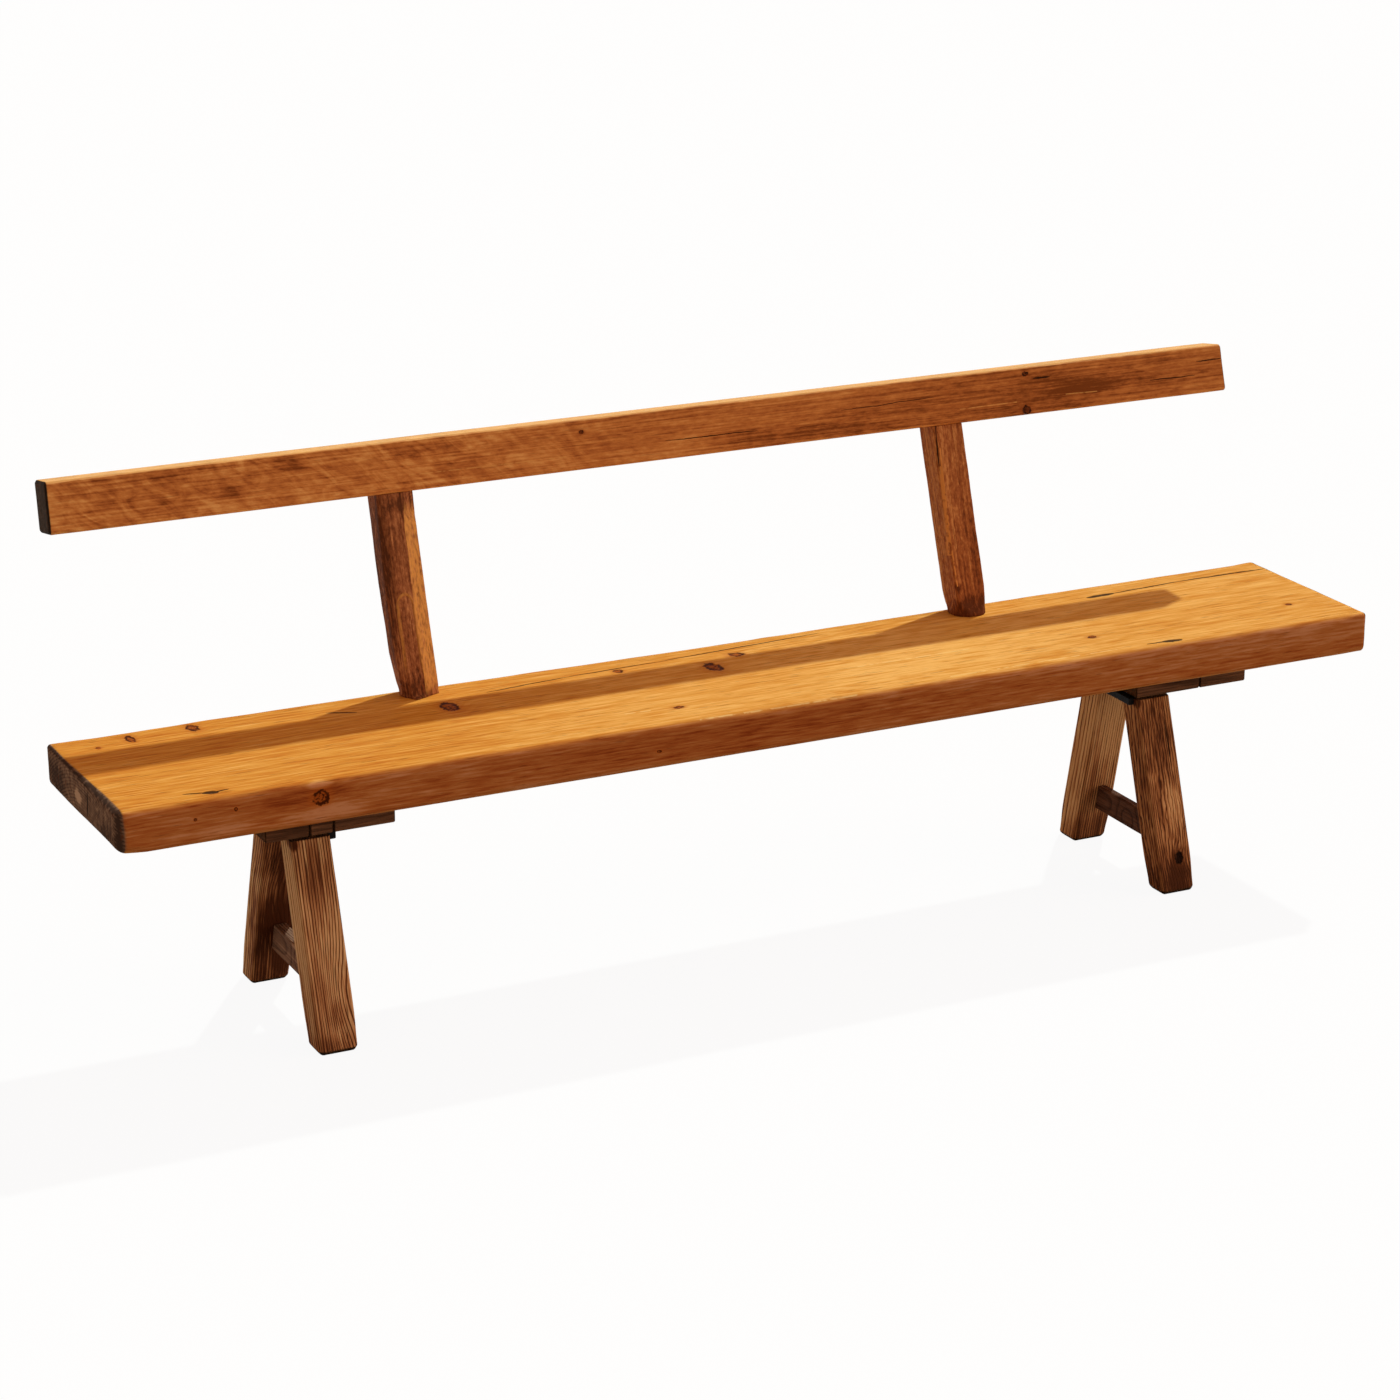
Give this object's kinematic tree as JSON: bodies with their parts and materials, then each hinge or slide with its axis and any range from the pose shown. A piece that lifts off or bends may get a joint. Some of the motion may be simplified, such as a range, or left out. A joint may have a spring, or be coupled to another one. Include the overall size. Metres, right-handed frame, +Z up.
{
  "type": "long trestle bench with back rail",
  "caption": "Long bench: one thick plank seat on splayed trestle legs with stretchers, and a single low back rail carried on leaning posts.",
  "frame": {"origin": "on the floor, under the middle of the bench's bounding box", "axes": "+X along the seat to the sitter's left, which is the right of the picture; +Y from the seat's front edge to the back rail; +Z up"},
  "size_m": [2.236, 0.4724, 0.8485],
  "materials": {
    "seat_wood": "oiled pine, worn, with knots and checks",
    "rail_wood": "oiled pine, reddish brown, with fine lines along the grain",
    "post_wood": "oiled softwood, hand-shaped, darker at the corners",
    "leg_wood": "dark stained softwood with raised grain and scuffed feet",
    "plate_wood": "dark rough-sawn softwood, unfinished",
    "peg_wood": "plain dowel wood, oiled with the rest",
    "black_iron": "blackened flat iron with a dull sheen",
    "screw_steel": "dull aged steel"
  },
  "bodies": {
    "root": {"back_leg_left": "leg_wood", "back_leg_right": "leg_wood", "back_post_left": "post_wood", "back_post_right": "post_wood", "back_rail": "rail_wood", "bar_screw_left_inner": "screw_steel", "bar_screw_left_outer": "screw_steel", "bar_screw_right_inner": "screw_steel", "bar_screw_right_outer": "screw_steel", "bearer_bar_left": "black_iron", "bearer_bar_right": "black_iron", "front_leg_left": "leg_wood", "front_leg_right": "leg_wood", "leg_screw_back_left": "screw_steel", "leg_screw_back_right": "screw_steel", "leg_screw_front_left": "screw_steel", "leg_screw_front_right": "screw_steel", "plate_left_inner": "plate_wood", "plate_left_middle": "plate_wood", "plate_left_outer": "plate_wood", "plate_right_inner": "plate_wood", "plate_right_outer": "plate_wood", "plate_screw_left_inner_back": "screw_steel", "plate_screw_left_inner_front": "screw_steel", "plate_screw_left_outer_back": "screw_steel", "plate_screw_left_outer_front": "screw_steel", "plate_screw_right_outer_back": "screw_steel", "plate_screw_right_outer_front": "screw_steel", "post_wedge_left": "peg_wood", "post_wedge_right": "peg_wood", "rail_peg_left": "peg_wood", "rail_peg_right": "peg_wood", "seat_plank": "seat_wood", "stretcher_left": "leg_wood", "stretcher_right": "leg_wood"}
  },
  "joints": []
}
